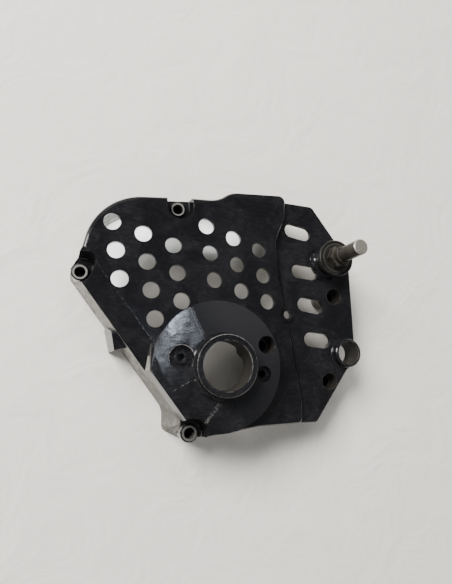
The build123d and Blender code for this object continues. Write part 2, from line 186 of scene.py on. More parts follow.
# The camera's place in metres, which ways its right, its top and its back face, the height of its
# frame in millimetres, and the nearest distance it sees, in metres
CAMERA_PLACE = (-0.08212, -0.04152, 0.3095)
CAMERA_RIGHT = (0.95968, 0.0, 0.28109)
CAMERA_UP = (-0.05017, 0.98394, 0.17129)
CAMERA_BACK = (-0.27657, -0.17848, 0.94427)
FRAME_HEIGHT = 36.0
NEAREST_SEEN = 0.005


class Recipe:
    """Writes shader nodes into one tree; a socket may be given a number or another socket."""

    def __init__(self, tree):
        self.tree = tree
        self.column = 0

    def put(self, kind, settings=None, **sockets):
        """One node, its settings, and its inputs by name or by number."""
        made = self.tree.nodes.new(kind)
        made.location = (self.column * 40, -(self.column % 12) * 160)
        self.column += 1
        for name, chosen in (settings or {}).items():
            setattr(made, name, chosen)
        for name, given in sockets.items():
            key = int(name[1:]) if name[0] == "_" else name.replace("_", " ")
            self.feed(made.inputs[key], given)
        return made

    def feed(self, socket, given):
        """Links a socket, or sets the number or colour it holds."""
        if isinstance(given, bpy.types.NodeSocket):
            self.tree.links.new(given, socket)
        elif given is not None:
            socket.default_value = given

    def sum(self, operation, *terms, clamp=False):
        """One step of arithmetic."""
        settings = {"operation": operation, "use_clamp": clamp}
        sockets = {f"_{index}": term for index, term in enumerate(terms)}
        return self.put("ShaderNodeMath", settings, **sockets).outputs[0]

    def step(self, amount, start, end, low=0.0, high=1.0, smooth=True):
        """Goes from low to high while the amount goes from start to end."""
        kind = "SMOOTHSTEP" if smooth else "LINEAR"
        made = self.put("ShaderNodeMapRange", {"interpolation_type": kind, "clamp": True}, _0=amount)
        for index, given in enumerate((start, end, low, high)):
            self.feed(made.inputs[index + 1], given)
        return made.outputs[0]

    def noise(self, place, scale, detail=3.0, rough=0.5, warp=0.0):
        """A cloud pattern between 0 and 1."""
        made = self.put("ShaderNodeTexNoise", Vector=place, Scale=scale, Detail=detail,
                        Roughness=rough, Distortion=warp)
        return made.outputs[0]

    def blend(self, share, first, second):
        """A colour between two colours."""
        made = self.put("ShaderNodeMix", {"data_type": "RGBA"})
        self.feed(made.inputs[0], share)
        self.feed(made.inputs[6], first)
        self.feed(made.inputs[7], second)
        return made.outputs[2]

    def between(self, share, first, second):
        """A number between two numbers."""
        made = self.put("ShaderNodeMix", {"data_type": "FLOAT"})
        self.feed(made.inputs[0], share)
        self.feed(made.inputs[2], first)
        self.feed(made.inputs[3], second)
        return made.outputs[0]

    def most(self, *terms):
        """The largest of several masks."""
        largest = terms[0]
        for term in terms[1:]:
            largest = self.sum("MAXIMUM", largest, term)
        return largest

    def all_of(self, *terms):
        """The product of several masks."""
        product = terms[0]
        for term in terms[1:]:
            product = self.sum("MULTIPLY", product, term)
        return product

    def along(self, place, direction):
        """How far a place lies along a direction."""
        made = self.put("ShaderNodeVectorMath", {"operation": "DOT_PRODUCT"}, _0=place)
        self.feed(made.inputs[1], direction)
        return made.outputs["Value"]

    def rest_of(self, mask):
        """What a mask leaves out."""
        return self.sum("SUBTRACT", 1.0, mask)

    def apart(self, place):
        """The three parts of a place."""
        return self.put("ShaderNodeSeparateXYZ", _0=place).outputs

    def from_axis(self, place, centre):
        """The distance of a place from an upright axis, and its height."""
        offset = self.put("ShaderNodeVectorMath", {"operation": "SUBTRACT"}, _0=place)
        self.feed(offset.inputs[1], centre)
        x, y, z = self.apart(offset.outputs[0])
        squares = self.sum("ADD", self.sum("MULTIPLY", x, x), self.sum("MULTIPLY", y, y))
        return self.sum("SQRT", squares), z

    def stretch(self, place, shift=(0, 0, 0), turn=(0, 0, 0), scale=(1, 1, 1)):
        """A place scaled, turned and shifted."""
        made = self.put("ShaderNodeMapping", _0=place)
        made.inputs["Location"].default_value = shift
        made.inputs["Rotation"].default_value = turn
        made.inputs["Scale"].default_value = scale
        return made.outputs[0]


def shared_group(name, inputs, outputs):
    """An empty node group with its sockets, its recipe, and its two end nodes."""
    group = bpy.data.node_groups.new(name, "ShaderNodeTree")
    for label, kind, default in inputs:
        socket = group.interface.new_socket(label, in_out="INPUT", socket_type=kind)
        if default is not None:
            socket.default_value = default
    for label, kind in outputs:
        group.interface.new_socket(label, in_out="OUTPUT", socket_type=kind)
    recipe = Recipe(group)
    return group, recipe, recipe.put("NodeGroupInput"), recipe.put("NodeGroupOutput")


def use(recipe, group, **sockets):
    """A shared group placed in a material with that material's own values."""
    made = recipe.put("ShaderNodeGroup")
    made.node_tree = group
    for name, given in sockets.items():
        recipe.feed(made.inputs[name.replace("_", " ")], given)
    return made.outputs


def ring_seat_group():
    """A mask for a round seat: 1 between two radii from an upright axis and between two heights."""
    group, r, ins, outs = shared_group(
        "Ring seat",
        (
            ("Place", "NodeSocketVector", None),
            ("Centre", "NodeSocketVector", None),
            ("Inner", "NodeSocketFloat", 3.0),
            ("Outer", "NodeSocketFloat", 6.0),
            ("Low", "NodeSocketFloat", 0.0),
            ("High", "NodeSocketFloat", 1.0),
            ("Blur", "NodeSocketFloat", 0.15),
        ),
        (("Mask", "NodeSocketFloat"),),
    )
    radius, z = r.from_axis(ins.outputs["Place"], ins.outputs["Centre"])
    blur = ins.outputs["Blur"]
    inner, outer = ins.outputs["Inner"], ins.outputs["Outer"]
    low, high = ins.outputs["Low"], ins.outputs["High"]
    over = r.step(radius, r.sum("SUBTRACT", inner, blur), r.sum("ADD", inner, blur))
    under = r.step(radius, r.sum("SUBTRACT", outer, blur), r.sum("ADD", outer, blur), 1.0, 0.0)
    above = r.step(z, r.sum("SUBTRACT", low, blur), r.sum("ADD", low, blur))
    below = r.step(z, r.sum("SUBTRACT", high, blur), r.sum("ADD", high, blur), 1.0, 0.0)
    r.feed(outs.inputs["Mask"], r.all_of(over, under, above, below))
    return group


def ring(r, shared, place, centre, inner, outer, low, high, blur=0.15):
    """The shared ring mask, round an upright axis at a centre."""
    made = use(r, shared["ring"], Place=place, Centre=(*centre, 0.0), Inner=inner, Outer=outer,
               Low=low, High=high, Blur=blur)
    return made["Mask"]


def smear_group():
    """Greasy smears: two cloud patterns of unlike size, multiplied, so that patches have soft rims."""
    group, r, ins, outs = shared_group(
        "Grease smears",
        (
            ("Place", "NodeSocketVector", None),
            ("Size", "NodeSocketFloat", 0.05),
            ("Cover", "NodeSocketFloat", 0.5),
        ),
        (("Mask", "NodeSocketFloat"), ("Fine", "NodeSocketFloat")),
    )
    place, size = ins.outputs["Place"], ins.outputs["Size"]
    broad = r.noise(place, size, 4.0, 0.6, 0.8)
    fine = r.noise(r.stretch(place, scale=(1.0, 1.6, 1.0)), r.sum("MULTIPLY", size, 7.0), 3.0, 0.65)
    threshold = r.sum("SUBTRACT", 1.0, ins.outputs["Cover"])
    patch = r.step(broad, r.sum("SUBTRACT", threshold, 0.12), r.sum("ADD", threshold, 0.12))
    streaky = r.step(fine, 0.35, 0.68)
    r.feed(outs.inputs["Mask"], r.all_of(patch, r.sum("MULTIPLY_ADD", streaky, 0.7, 0.3)))
    r.feed(outs.inputs["Fine"], fine)
    return group


def rub_group():
    """Worn edges: an occlusion that looks inward finds outer edges, and clouds break them up."""
    group, r, ins, outs = shared_group(
        "Rubbed edges",
        (
            ("Place", "NodeSocketVector", None),
            ("Reach", "NodeSocketFloat", 0.0008),
            ("Amount", "NodeSocketFloat", 0.5),
            ("Grain", "NodeSocketFloat", 0.6),
        ),
        (("Mask", "NodeSocketFloat"),),
    )
    settings = {"inside": True, "only_local": True, "samples": 6}
    occlusion = r.put("ShaderNodeAmbientOcclusion", settings, Distance=ins.outputs["Reach"])
    edge = r.step(occlusion.outputs["AO"], 0.62, 0.3)
    chips = r.noise(ins.outputs["Place"], ins.outputs["Grain"], 5.0, 0.7)
    threshold = r.sum("SUBTRACT", 1.0, ins.outputs["Amount"])
    worn = r.step(chips, r.sum("SUBTRACT", threshold, 0.06), r.sum("ADD", threshold, 0.06))
    r.feed(outs.inputs["Mask"], r.all_of(edge, worn))
    return group


def scratch_group():
    """Hairline scratches: a cloud pattern stretched along one direction and cut to thin lines."""
    group, r, ins, outs = shared_group(
        "Hairline scratches",
        (
            ("Place", "NodeSocketVector", None),
            ("Width", "NodeSocketFloat", 0.03),
        ),
        (("Mask", "NodeSocketFloat"),),
    )
    place = ins.outputs["Place"]
    masks = []
    for turn, seed in ((0.9, 3.1), (-0.45, 17.0)):
        lines = r.stretch(place, (seed, seed, 0.0), (0.0, 0.0, turn), (0.09, 1.3, 0.2))
        cloud = r.noise(lines, 0.9, 2.0, 0.5, 0.4)
        off_line = r.sum("ABSOLUTE", r.sum("SUBTRACT", cloud, 0.5))
        masks.append(r.step(off_line, 0.0, ins.outputs["Width"], 1.0, 0.0))
    r.feed(outs.inputs["Mask"], r.most(*masks))
    return group


def streak_group():
    """A straight streak: 1 near a middle, out to a half length and a half width, softly ended."""
    group, r, ins, outs = shared_group(
        "Straight streak",
        (
            ("Place", "NodeSocketVector", None),
            ("Middle", "NodeSocketVector", None),
            ("Angle", "NodeSocketFloat", 0.0),
            ("Length", "NodeSocketFloat", 5.0),
            ("Width", "NodeSocketFloat", 0.3),
        ),
        (("Mask", "NodeSocketFloat"),),
    )
    offset = r.put("ShaderNodeVectorMath", {"operation": "SUBTRACT"}, _0=ins.outputs["Place"])
    r.feed(offset.inputs[1], ins.outputs["Middle"])
    x, y, z = r.apart(offset.outputs[0])
    cosine, sine = (r.sum(kind, ins.outputs["Angle"]) for kind in ("COSINE", "SINE"))
    ahead = r.sum("ADD", r.sum("MULTIPLY", x, cosine), r.sum("MULTIPLY", y, sine))
    aside = r.sum("SUBTRACT", r.sum("MULTIPLY", y, cosine), r.sum("MULTIPLY", x, sine))
    bend = r.noise(ins.outputs["Place"], 0.12, 2.0, 0.5)
    aside = r.sum("ADD", aside, r.sum("SUBTRACT", bend, 0.5))
    length, width = ins.outputs["Length"], ins.outputs["Width"]
    ended = r.step(r.sum("ABSOLUTE", ahead), r.sum("MULTIPLY", length, 0.75), length, 1.0, 0.0)
    thin = r.step(r.sum("ABSOLUTE", aside), r.sum("MULTIPLY", width, 0.3), width, 1.0, 0.0)
    r.feed(outs.inputs["Mask"], r.all_of(ended, thin))
    return group


def cast_group():
    """Sand-cast grain: clouds of two sizes added to fine pits, as a height and a stain mask."""
    group, r, ins, outs = shared_group(
        "Casting grain",
        (
            ("Place", "NodeSocketVector", None),
            ("Size", "NodeSocketFloat", 0.9),
        ),
        (("Height", "NodeSocketFloat"), ("Stain", "NodeSocketFloat")),
    )
    place, size = ins.outputs["Place"], ins.outputs["Size"]
    grain = r.noise(place, size, 6.0, 0.7)
    pits = r.put("ShaderNodeTexVoronoi", Vector=place, Scale=r.sum("MULTIPLY", size, 1.7)).outputs[0]
    stain = r.noise(place, r.sum("MULTIPLY", size, 0.16), 5.0, 0.65, 1.2)
    height = r.sum("ADD", r.sum("MULTIPLY", grain, 0.7), r.sum("MULTIPLY", pits, 0.3))
    r.feed(outs.inputs["Height"], height)
    r.feed(outs.inputs["Stain"], stain)
    return group


def drawing_place(r):
    """Object coordinates turned into the drawing's millimetres, and the object-space normal."""
    coordinates = r.put("ShaderNodeTexCoord")
    shift = tuple(-part for part in DATUM)
    place = r.stretch(coordinates.outputs["Object"], shift, scale=(1.0 / MM, 1.0 / MM, 1.0 / MM))
    return place, coordinates.outputs["Normal"]


def new_finish(name):
    """An empty material, its recipe, and its shader, wired to the output."""
    material = bpy.data.materials.new(name)
    material.use_nodes = True
    material.node_tree.nodes.clear()
    r = Recipe(material.node_tree)
    shader = r.put("ShaderNodeBsdfPrincipled")
    output = r.put("ShaderNodeOutputMaterial")
    r.feed(output.inputs["Surface"], shader.outputs[0])
    return material, r, shader


def raise_surface(r, shader, height, edge_radius):
    """Bump from a height, over edges that the light sees as rounded by a radius in metres."""
    rounded = r.put("ShaderNodeBevel", {"samples": 4}, Radius=edge_radius)
    bump = r.put("ShaderNodeBump", Height=height, Normal=rounded.outputs[0])
    bump.inputs["Distance"].default_value = BUMP_DEPTH
    bump.inputs["Strength"].default_value = 1.0
    r.feed(shader.inputs["Normal"], bump.outputs[0])


def face_height(r, x):
    """The height of the cover's face at a place: level on the left, falling to the right."""
    beyond = r.sum("MAXIMUM", r.sum("SUBTRACT", x, FACE_CREASE_X), 0.0)
    return r.sum("SUBTRACT", FACE_HEIGHT, r.sum("MULTIPLY", beyond, math.tan(FACE_FALL)))


def inside_mask(r, place, normal):
    """1 on the hollow side: what faces down, and walls that face the middle below the roof."""
    x, y, z = r.apart(place)
    facing_down = r.step(r.apart(normal)[2], -0.15, -0.45)
    from_middle = r.put("ShaderNodeVectorMath", {"operation": "SUBTRACT"}, _0=place)
    from_middle.inputs[1].default_value = HOLLOW_MIDDLE
    facing_in = r.step(r.along(from_middle.outputs[0], normal), 0.0, -2.0)
    roof = r.sum("SUBTRACT", face_height(r, x), FACE_THICKNESS)
    under_roof = r.step(r.sum("SUBTRACT", z, roof), 0.2, -0.4)
    left_of_plate = r.step(x, PLATE_LEFT + 1.0, PLATE_LEFT - 1.0)
    under_plate = r.step(z, PLATE_UNDERSIDE + 0.2, PLATE_UNDERSIDE - 0.1)
    low = r.most(r.all_of(under_roof, left_of_plate), under_plate)
    return r.most(facing_down, r.all_of(facing_in, low))


def flank_mask(r, place, normal, shared):
    """1 on the long leaning wall of the flank, on the flared foot and on the riser."""
    x, y, z = r.apart(place)
    wall_at = r.sum("SUBTRACT", FLANK_DISTANCE, r.sum("MULTIPLY", z, math.tan(FLANK_LEAN)))
    beyond = r.sum("SUBTRACT", r.along(place, FLANK_OUT), wall_at)
    wall = r.all_of(r.step(r.along(normal, FLANK_OUT), 0.55, 0.8),
                    r.step(z, RIM_HEIGHT + 0.5, RIM_HEIGHT - 0.4),
                    r.step(beyond, -0.9, -0.5), r.step(beyond, 0.7, 0.3),
                    r.step(x, FLANK_END_X, FLANK_END_X - 2.0))
    foot = r.all_of(r.step(beyond, 0.1, 0.4), r.step(y, FLARE_TOP_Y, FLARE_TOP_Y - 3.0),
                    r.step(x, FLANK_END_X, FLANK_END_X - 3.0), r.step(z, RIM_HEIGHT + 1.0, RIM_HEIGHT))
    column = ring(r, shared, place, LOWER_SCREW, FILLED, 7.4, -1.0, 40.0, blur=0.5)
    from_riser = r.sum("ABSOLUTE", r.sum("SUBTRACT", x, RISER_X))
    riser = r.all_of(r.step(r.along(normal, LEFTWARD), 0.9, 0.97), r.step(from_riser, 4.0, 3.0),
                     r.step(z, 19.0, 20.0), r.step(y, 8.0, 4.0))
    return r.most(r.all_of(r.most(wall, foot), r.rest_of(column)), riser)


def pocket_skin(r, shared, place, normal):
    """1 on the outer skin of the pockets beside the screw bosses."""
    pockets = [ring(r, shared, place, centre, FILLED, POCKET_RADIUS, floor, POCKET_TOP)
               for centre, floor in POCKETS]
    return r.all_of(r.most(*pockets), r.step(r.apart(normal)[2], -0.4, -0.2))


def dark_holes(r, shared, place):
    """1 in the screw holes and in the wells over them."""
    return r.most(*(ring(r, shared, place, centre, FILLED, radius, low, high)
                    for centre, radius, low, high in WELLS))


def grease_and_shade_walls(r, shared, place):
    """1 on the walls of the main bore and of the tube."""
    bore = ring(r, shared, place, BORE, BORE_RADIUS - 0.4, BORE_RADIUS + 0.2, BORE_PAINT_END,
                COLLAR_TOP - 0.9)
    tube = ring(r, shared, place, TUBE, TUBE_BORE_RADIUS - 0.4, TUBE_BORE_RADIUS + 0.2, TUBE_FOOT,
                TUBE_TOP - 0.6)
    return r.most(bore, tube)


def seat_wear_and_rim_highlight(r, shared, place, wear):
    """Bare metal on the screws' seats, and on the far edge of the tapped seat beside the collar a light arc
    that is rubbed paint and a painted highlight.
    """
    seats = []
    for centre, outer, top, share in SCREW_SEATS:
        seat = ring(r, shared, place, centre, SCREW_HOLE_RADIUS, outer, top - 0.7, top + 0.5)
        seats.append(r.sum("MULTIPLY", seat, share))
    rim = ring(r, shared, place, TAPPED_SEAT, TAPPED_SEAT_RADIUS - 0.35, TAPPED_SEAT_RADIUS + 0.35,
               TAPPED_SEAT_TOP, DISC_HEIGHT)
    # Only the tapped seat's upper side gets the light arc: rubbed paint and a painted highlight
    far_side = r.step(r.along(place, (-0.3, 0.95, 0.0)), 12.0, 16.0)
    return r.most(r.all_of(r.most(*seats), r.step(wear, 0.3, 0.42)),
                  r.all_of(rim, far_side, r.step(wear, 0.42, 0.55), 0.45))


def worn_lips(r, shared, place, wear):
    """Bare metal on the lips of the collar and of the tube."""
    lip = ring(r, shared, place, BORE, BORE_RADIUS - 0.3, BORE_RADIUS + 0.3, COLLAR_TOP - 0.7,
               COLLAR_TOP + 0.5)
    edge = ring(r, shared, place, BORE, COLLAR_RADIUS - 0.4, COLLAR_RADIUS + 0.3, COLLAR_TOP - 0.5,
                COLLAR_TOP + 0.5)
    tube_lip = ring(r, shared, place, TUBE, TUBE_BORE_RADIUS - 0.4, TUBE_BORE_RADIUS + 0.45,
                    TUBE_TOP - 0.8, TUBE_TOP + 0.5)
    patches = r.step(r.noise(place, 0.16, 3.0, 0.6), 0.42, 0.62)
    worn_side = r.step(r.along(place, (0.8, 0.6, 0.0)), -14.0, 12.0, 0.35, 0.85)
    return r.most(r.all_of(lip, r.step(wear, 0.42, 0.56), patches, 0.55),
                  r.all_of(edge, r.step(wear, 0.4, 0.55), worn_side,
                           r.sum("MULTIPLY_ADD", patches, 0.6, 0.4)),
                  r.all_of(tube_lip, r.step(wear, 0.45, 0.6), 0.15))


def edge_wear_and_crease_highlight(r, shared, place, wear, amount):
    """Bare metal on rubbed edges, nearly none of it along the slope's upper edge, which gets a faint light
    line instead: worn paint and a painted highlight.
    """
    x, y, z = r.apart(place)
    crease = r.sum("SUBTRACT", r.along(place, FLANK_OUT), SLOPE_TOP_DISTANCE)
    from_crease = r.sum("ABSOLUTE", crease)
    on_face = r.all_of(r.step(z, FACE_HEIGHT - 1.2, FACE_HEIGHT - 0.6), r.step(x, -40.0, -50.0))
    # A faint light line along the crease: worn paint and a painted highlight on its edge
    line = r.all_of(r.step(from_crease, 0.6, 0.15), on_face, r.step(wear, 0.52, 0.64), 0.10)
    rubbed = use(r, shared["rub"], Place=place, Reach=0.0009, Amount=amount, Grain=0.55)
    off_crease = r.rest_of(r.step(from_crease, 2.6, 1.6, 0.0, 0.9))
    return r.most(line, r.all_of(rubbed["Mask"], off_crease, 0.6))


def scuff_and_highlight_mask(r, shared, place, normal, wear):
    """The marks that can be told apart, among them the streak along the disc's crease, which is a scratch
    and a painted highlight, broken into flecks, and hairline scratches all over.
    """
    marks = []
    for middle, angle, length, width, share in SCUFF_AND_HIGHLIGHT_MARKS.values():
        mark = use(r, shared["streak"], Place=place, Middle=(*middle, 0.0), Angle=angle,
                   Length=length, Width=width)
        marks.append(r.sum("MULTIPLY", mark["Mask"], share))
    flecks = r.step(r.noise(place, 1.4, 3.0, 0.7), 0.5, 0.62)
    on_top = r.step(r.apart(normal)[2], 0.7, 0.9)
    hairlines = use(r, shared["scratch"], Place=place, Width=0.012)
    return r.most(r.all_of(r.most(*marks), flecks, on_top),
                  r.all_of(hairlines["Mask"], r.step(wear, 0.42, 0.58), 0.05))


def disc_masks(r, place, normal):
    """One mask for the disc's level top, and one for its facet, which falls to the left."""
    x, y, z = r.apart(place)
    upward = r.apart(normal)[2]
    level = r.all_of(r.step(z, DISC_HEIGHT - 1.3, DISC_HEIGHT - 0.8), r.step(upward, 0.9955, 0.999),
                     r.step(z, DISC_HEIGHT + 0.6, DISC_HEIGHT + 0.3))
    facet = r.all_of(r.step(z, 30.0, 34.0), r.step(z, DISC_HEIGHT + 0.5, DISC_HEIGHT - 0.1),
                     r.step(x, -6.0, -9.0), r.step(upward, 0.96, 0.975),
                     r.step(r.along(normal, LEFTWARD), 0.03, 0.06), FACET_SHARE)
    return level, facet


def paint_colour(r, looks, place, smears, scuffs_and_highlight, disc_top):
    """Black, greyer where it is smeared, greyer on the disc's level top as a painted sheen that fades
    towards its bottom and its facet, and light in scuff marks and in the scratch and painted highlight
    along the disc's crease.
    """
    # Painted sheen on the disc's level top: lighter towards its top and its right, away from the facet
    far_side = r.step(r.along(place, (-0.45, 0.89, 0.0)), -45.0, 35.0, 0.12, 0.55)
    past_facet = r.step(r.along(place, (0.86, 0.5, 0.0)), -4.0, 22.0, 0.3, 1.0)
    smear_and_sheen = r.most(r.sum("MULTIPLY", smears, 0.35), r.all_of(disc_top, far_side, past_facet))
    return r.blend(scuffs_and_highlight, r.blend(smear_and_sheen, looks.paint_colour, looks.smear_and_sheen_colour),
                   looks.scratch_and_highlight_colour)


def casting_colour(r, looks, place, stain, inside):
    """Bare casting: stained outside and darker towards the bottom, below y = 6 mm, and oily inside."""
    y = r.apart(place)[1]
    # Darker towards the bottom, mixed with random stains
    clean = r.sum("MULTIPLY_ADD", r.step(y, 6.0, -18.0), -0.7, r.step(stain, 0.36, 0.62))
    outer = r.blend(r.sum("MAXIMUM", clean, 0.0), looks.stain_colour, looks.metal_colour)
    hollow = r.blend(r.step(stain, 0.35, 0.68), looks.soot_colour, looks.hollow_colour)
    return r.blend(inside, outer, hollow)


def paint_roughness(r, looks, place, smears, scuffs_and_highlight, disc_top, facet):
    """Gloss, duller in smears, in scuff marks and in the streak along the disc's crease, and on the disc's
    level top, and blotchy on its facet.
    """
    clouds = r.noise(r.stretch(place, scale=(1.0, 0.55, 1.0)), 0.17, 4.0, 0.62, 0.6)
    blotches = r.step(clouds, 0.36, 0.62)
    rough = r.sum("MULTIPLY_ADD", smears, looks.smear_roughness, looks.paint_roughness)
    for mask, added in (
        (disc_top, 0.2),
        (r.all_of(facet, blotches), 0.05),
        (facet, -0.02),
        (scuffs_and_highlight, 0.3),
    ):
        rough = r.sum("MULTIPLY_ADD", mask, added, rough)
    return rough


def paint_height(r, place, facet):
    """Fine orange peel, with slow waves in its place on the facet."""
    peel = r.sum("MULTIPLY", r.noise(place, 0.55, 2.0, 0.5), 0.10)
    waves = r.sum("MULTIPLY", r.noise(place, 0.06, 2.0, 0.45), 3.4)
    return r.between(facet, peel, r.sum("MULTIPLY_ADD", peel, 0.3, waves))


def casting_finish(looks, shared):
    """Gloss black paint over a die casting, worn to bare metal where hands and tools reach."""
    material, r, shader = new_finish("black_paint")
    place, normal = drawing_place(r)
    wear = r.noise(place, 0.9, 4.0, 0.7)
    smears = use(r, shared["smear"], Place=place, Size=0.045, Cover=0.5)["Mask"]
    cast = use(r, shared["cast"], Place=place, Size=0.9)
    disc_top, facet = disc_masks(r, place, normal)

    holes = dark_holes(r, shared, place)
    flank = flank_mask(r, place, normal, shared)
    inside = r.all_of(inside_mask(r, place, normal), r.rest_of(holes),
                      r.rest_of(pocket_skin(r, shared, place, normal)))
    inside = r.sum("SUBTRACT", inside, flank, clamp=True)
    seam_noise = r.sum("MULTIPLY", r.sum("SUBTRACT", r.noise(place, 0.35, 4.0, 0.7), 0.5), 0.6)
    bare = r.most(inside, r.step(r.sum("ADD", flank, seam_noise), 0.35, 0.6))
    # Rubbed metal, with painted highlights along the slope's crease and on the tapped seat's far edge
    worn = r.most(seat_wear_and_rim_highlight(r, shared, place, wear), worn_lips(r, shared, place, wear),
                  edge_wear_and_crease_highlight(r, shared, place, wear, looks.chip_amount))
    # Old grease and painted shade: the holes, wells and bores are darkened to near-black
    greasy = r.sum("MULTIPLY", r.most(grease_and_shade_walls(r, shared, place), holes), 0.9)
    scuffs_and_highlight = scuff_and_highlight_mask(r, shared, place, normal, wear)

    colour = r.blend(bare, paint_colour(r, looks, place, smears, scuffs_and_highlight, disc_top),
                     casting_colour(r, looks, place, cast["Stain"], inside))
    colour = r.blend(greasy, colour, looks.grease_colour)
    r.feed(shader.inputs["Base Color"], r.blend(worn, colour, looks.bright_colour))

    any_metal = r.sum("SUBTRACT", r.most(bare, worn), greasy, clamp=True)
    r.feed(shader.inputs["Metallic"], r.all_of(any_metal, r.between(inside, 0.4, 0.3)))

    rough = paint_roughness(r, looks, place, smears, scuffs_and_highlight, disc_top, facet)
    rough = r.between(bare, r.sum("MULTIPLY_ADD", greasy, 0.35, rough),
                      r.step(cast["Height"], 0.3, 0.7, 0.42, 0.62))
    r.feed(shader.inputs["Roughness"], r.between(worn, rough, 0.36))

    height = r.between(bare, paint_height(r, place, facet), r.sum("MULTIPLY", cast["Height"], 0.9))
    height = r.sum("SUBTRACT", height, r.sum("MULTIPLY", r.most(worn, scuffs_and_highlight), 0.25))
    raise_surface(r, shader, height, 0.0004)
    shader.inputs["IOR"].default_value = 1.5
    return material


def turned_lines(r, place, centre, spacing):
    """Fine lathe lines: a cloud pattern read along the radius and the height only."""
    radius, z = r.from_axis(place, (*centre, 0.0))
    joined = r.put("ShaderNodeCombineXYZ", _0=radius, _1=0.0, _2=z)
    return r.noise(joined.outputs[0], 1.0 / spacing, 2.0, 0.6), radius, z


def stud_finish(looks, shared):
    """A turned steel stud, brown with old grease, worn lighter on the pin and its end."""
    material, r, shader = new_finish("greasy_steel")
    place = drawing_place(r)[0]
    lines, radius, z = turned_lines(r, place, STUD, 0.45)
    smears = use(r, shared["smear"], Place=place, Size=0.16, Cover=0.52)
    rubbed = use(r, shared["rub"], Place=place, Reach=0.0006, Amount=0.6, Grain=0.9)
    end_face = r.step(z, PIN_TOP - 0.6, PIN_TOP - 0.2)
    pits = r.step(r.noise(place, 0.9, 4.0, 0.7), 0.5, 0.6)
    low_grease = r.step(z, PIN_TOP - 2.5, PIN_TOP - 22.5, 0.4, 0.72)
    grease = r.sum("ADD", low_grease, r.sum("MULTIPLY", smears["Mask"], 0.45), clamp=True)
    grease = r.between(end_face, grease, r.sum("MULTIPLY", pits, 0.55))

    steel = r.blend(lines, looks.steel_dark, looks.steel_colour)
    steel = r.blend(r.sum("MULTIPLY", end_face, 0.8), steel, looks.steel_bright)
    rim = r.all_of(r.step(z, PIN_TOP - 1.0, PIN_TOP - 0.7), r.step(radius, 4.5, 4.8),
                   r.step(pits, 0.2, 0.6, 1.0, 0.4))
    worn = r.most(r.sum("MULTIPLY", rubbed["Mask"], 0.55), r.sum("MULTIPLY", rim, 0.6))
    colour = r.blend(worn, r.blend(grease, steel, looks.grease_colour), looks.steel_bright)
    r.feed(shader.inputs["Base Color"], colour)
    r.feed(shader.inputs["Metallic"], r.between(grease, 0.85, 0.25))
    r.feed(shader.inputs["Roughness"], r.between(grease, r.step(lines, 0.3, 0.7, 0.34, 0.5), 0.33))
    height = r.sum("ADD", r.sum("MULTIPLY", lines, 0.25), r.sum("MULTIPLY", smears["Fine"], 0.5))
    raise_surface(r, shader, height, 0.0003)
    return material


def washer_finish(looks, shared):
    """A black steel washer under a film of grease, with a groove, bright rubs on its rim, and a light ring
    on its lip that is rubbed metal and a painted highlight.
    """
    material, r, shader = new_finish("black_washer")
    place = drawing_place(r)[0]
    lines, radius, z = turned_lines(r, place, STUD, 0.5)
    smears = use(r, shared["smear"], Place=place, Size=0.14, Cover=0.55)
    rubbed = use(r, shared["rub"], Place=place, Reach=0.0006, Amount=0.5, Grain=0.8)
    on_top = r.step(z, WASHER_TOP - 0.4, WASHER_TOP - 0.1)
    lip = r.all_of(r.step(radius, 10.2, 10.5), r.step(radius, 11.1, 10.8), on_top)
    groove = r.all_of(r.step(radius, 10.9, 11.2), r.step(radius, 12.0, 11.6), on_top)
    # The lip's light ring is rubbed metal and a painted highlight on the step
    worn = r.sum("MULTIPLY", r.most(rubbed["Mask"], r.sum("MULTIPLY", lip, 0.5)), 0.6)
    film = r.blend(smears["Mask"], looks.washer_colour, looks.washer_grease)
    r.feed(shader.inputs["Base Color"], r.blend(worn, film, looks.steel_dark))
    r.feed(shader.inputs["Metallic"], r.between(rubbed["Mask"], 0.2, 0.8))
    r.feed(shader.inputs["Roughness"], r.between(smears["Mask"], 0.28, 0.42))
    height = r.sum("ADD", r.sum("MULTIPLY", lines, 0.2), r.sum("MULTIPLY", smears["Fine"], 0.6))
    raise_surface(r, shader, r.sum("MULTIPLY_ADD", groove, -2.5, height), 0.0003)
    return material


def dress(node, material):
    """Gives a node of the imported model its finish."""
    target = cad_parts.get(node)
    if target is None:
        raise RuntimeError(f"the packed model has no node {node}")
    if not target.data.materials:
        target.data.materials.append(None)
    for index in range(len(target.material_slots)):
        target.material_slots[index].link = "OBJECT"
        target.material_slots[index].material = material
    return target


def groups():
    """The shared node groups, built once."""
    made = {
        "ring": ("Ring seat", ring_seat_group),
        "smear": ("Grease smears", smear_group),
        "rub": ("Rubbed edges", rub_group),
        "scratch": ("Hairline scratches", scratch_group),
        "streak": ("Straight streak", streak_group),
        "cast": ("Casting grain", cast_group),
    }
    return {key: bpy.data.node_groups.get(name) or build() for key, (name, build) in made.items()}


def mesh_object(name, points, faces, smooth):
    """A mesh at the origin, with each face told to look smooth or flat."""
    mesh = bpy.data.meshes.new(name)
    mesh.from_pydata(points.reshape(-1, 3).tolist(), [], faces)
    mesh.polygons.foreach_set("use_smooth", smooth)
    made = bpy.data.objects.new(name, mesh)
    bpy.context.scene.collection.objects.link(made)
    return made


